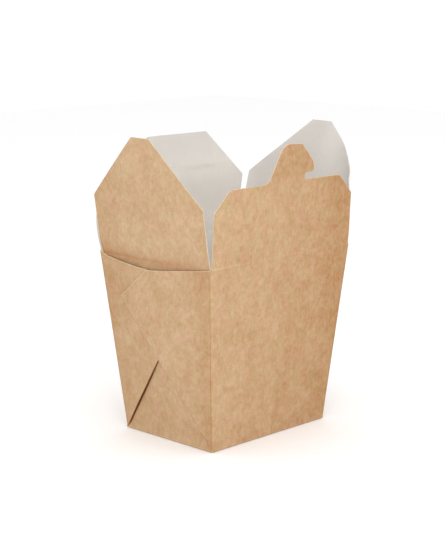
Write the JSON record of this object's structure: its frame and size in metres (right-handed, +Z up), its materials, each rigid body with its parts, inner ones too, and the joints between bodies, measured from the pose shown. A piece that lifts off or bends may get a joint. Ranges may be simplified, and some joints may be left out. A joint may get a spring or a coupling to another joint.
{
  "type": "noodle takeaway box",
  "caption": "Open tapered takeaway box of folded paperboard, brown outside and white inside, with hinged top flaps, a hook tongue, and gusset webs folded flat on its narrow walls.",
  "frame": {"origin": "centre of the bottom panel's underside, on the surface that the box stands on", "axes": "+Z up out of the open mouth; X along the wide front and back walls, with the front wall facing -Y; Y across them"},
  "size_m": [0.1391, 0.0886, 0.1635],
  "materials": {
    "kraft_board": "matte uncoated brown kraft with soft mottling and fine fibres",
    "coated_board": "smooth white coated inner face, low satin sheen"
  },
  "bodies": {
    "box": {"box_body": "kraft_board"},
    "front_flap": {"flap_front": "kraft_board"},
    "back_flap": {"flap_back": "coated_board"},
    "left_flap": {"flap_left": "kraft_board"},
    "right_flap": {"flap_right": "coated_board"}
  },
  "joints": [
    {"name": "front_flap_crease", "type": "hinge", "parent": "box", "child": "front_flap", "pos_m": [0, -0.04233, 0.1], "axis": [1, 0, 0], "range_deg": [-90.4, 56.6]},
    {"name": "back_flap_crease", "type": "hinge", "parent": "box", "child": "back_flap", "pos_m": [0, 0.04233, 0.1], "axis": [-1, 0, 0], "range_deg": [-85.7, 64]},
    {"name": "left_flap_crease", "type": "hinge", "parent": "box", "child": "left_flap", "pos_m": [-0.05378, 0, 0.0994], "axis": [0, -1, 0], "range_deg": [-100.5, 52.8]},
    {"name": "right_flap_crease", "type": "hinge", "parent": "box", "child": "right_flap", "pos_m": [0.05378, 0, 0.0994], "axis": [0, 1, 0], "range_deg": [-120, 40]}
  ]
}
